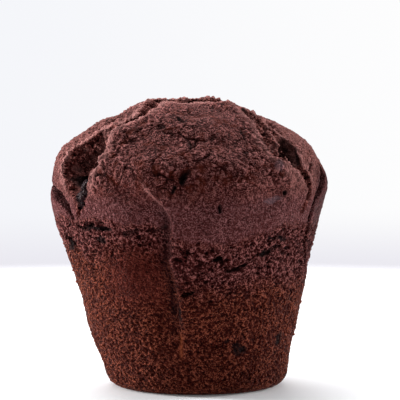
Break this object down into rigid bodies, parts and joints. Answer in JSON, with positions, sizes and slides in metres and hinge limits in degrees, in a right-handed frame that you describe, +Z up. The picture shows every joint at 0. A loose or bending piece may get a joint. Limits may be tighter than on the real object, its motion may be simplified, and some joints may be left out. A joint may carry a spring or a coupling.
{
  "type": "chocolate muffin",
  "caption": "Chocolate muffin with a tapered, creased body on a flat foot and a domed crust split in a horseshoe round the crown; stands on its foot.",
  "frame": {"origin": "bottom centre of the muffin's bounding box, on the flat foot", "axes": "+Z up from the foot to the crown, -Y towards the front, where the split in the crust is open"},
  "size_m": [0.0794, 0.0794, 0.0834],
  "materials": {
    "chocolate_cake": "matte"
  },
  "bodies": {
    "root": {"muffin": "chocolate_cake"}
  },
  "joints": []
}
